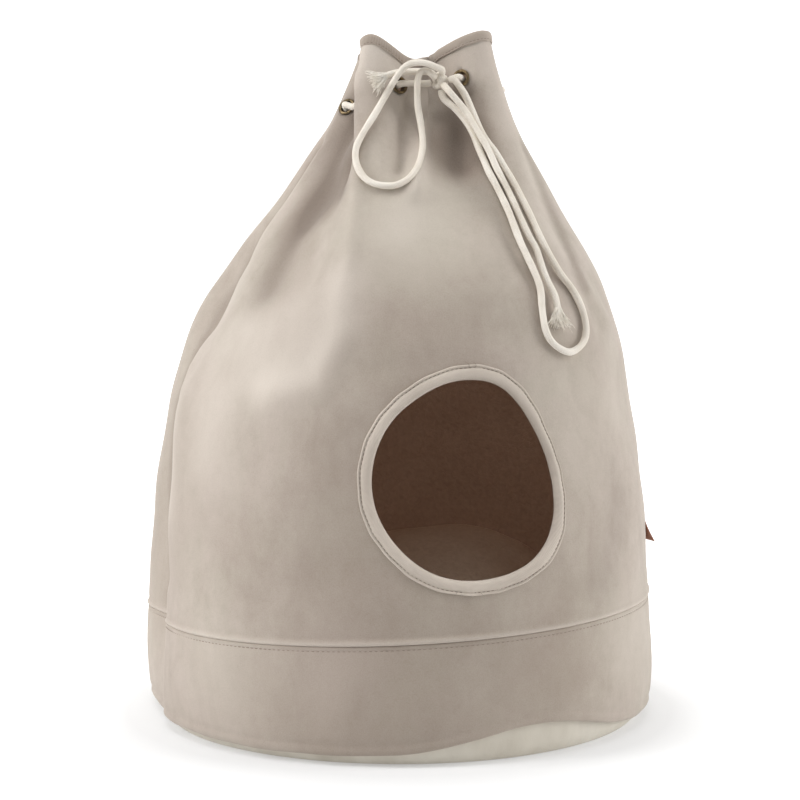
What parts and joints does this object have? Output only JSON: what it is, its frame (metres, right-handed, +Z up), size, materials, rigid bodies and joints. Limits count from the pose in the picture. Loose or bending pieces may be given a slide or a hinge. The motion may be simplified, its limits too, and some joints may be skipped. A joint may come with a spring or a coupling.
{
  "type": "cat cave bed",
  "caption": "Tall soft-sided cave bed for a cat, with a round bound entry, a filled cushion and a neck gathered by a cord tied in a bow.",
  "frame": {"origin": "centre of the flat underside of the base", "axes": "+Z up, -Y towards the front with the round entry, +X to the right as seen from the front"},
  "size_m": [0.463, 0.4531, 0.6001],
  "materials": {
    "suede": "brushed nap",
    "suede_band": "brushed nap",
    "canvas": "plain weave",
    "binding": "ribbed",
    "brass": "antique",
    "cotton_cord": "braided",
    "cotton_fray": "loose strands",
    "plush": "short pile",
    "leather": "smooth"
  },
  "bodies": {
    "root": {"wall_panel": "suede", "base_band": "suede_band", "base_panel": "canvas", "top_binding": "binding", "entry_binding": "binding", "eyelet_1": "brass", "eyelet_2": "brass", "eyelet_3": "brass", "eyelet_4": "brass", "eyelet_5": "brass", "eyelet_6": "brass", "eyelet_7": "brass", "eyelet_8": "brass", "drawstring_neck": "cotton_cord", "drawstring_knot": "cotton_cord", "bow_loop_short": "cotton_cord", "bow_loop_long": "cotton_cord", "bow_end_short": "cotton_cord", "bow_end_long": "cotton_cord", "frayed_end_short": "cotton_fray", "frayed_end_long": "cotton_fray", "cushion": "plush", "leather_tag": "leather"}
  },
  "joints": []
}
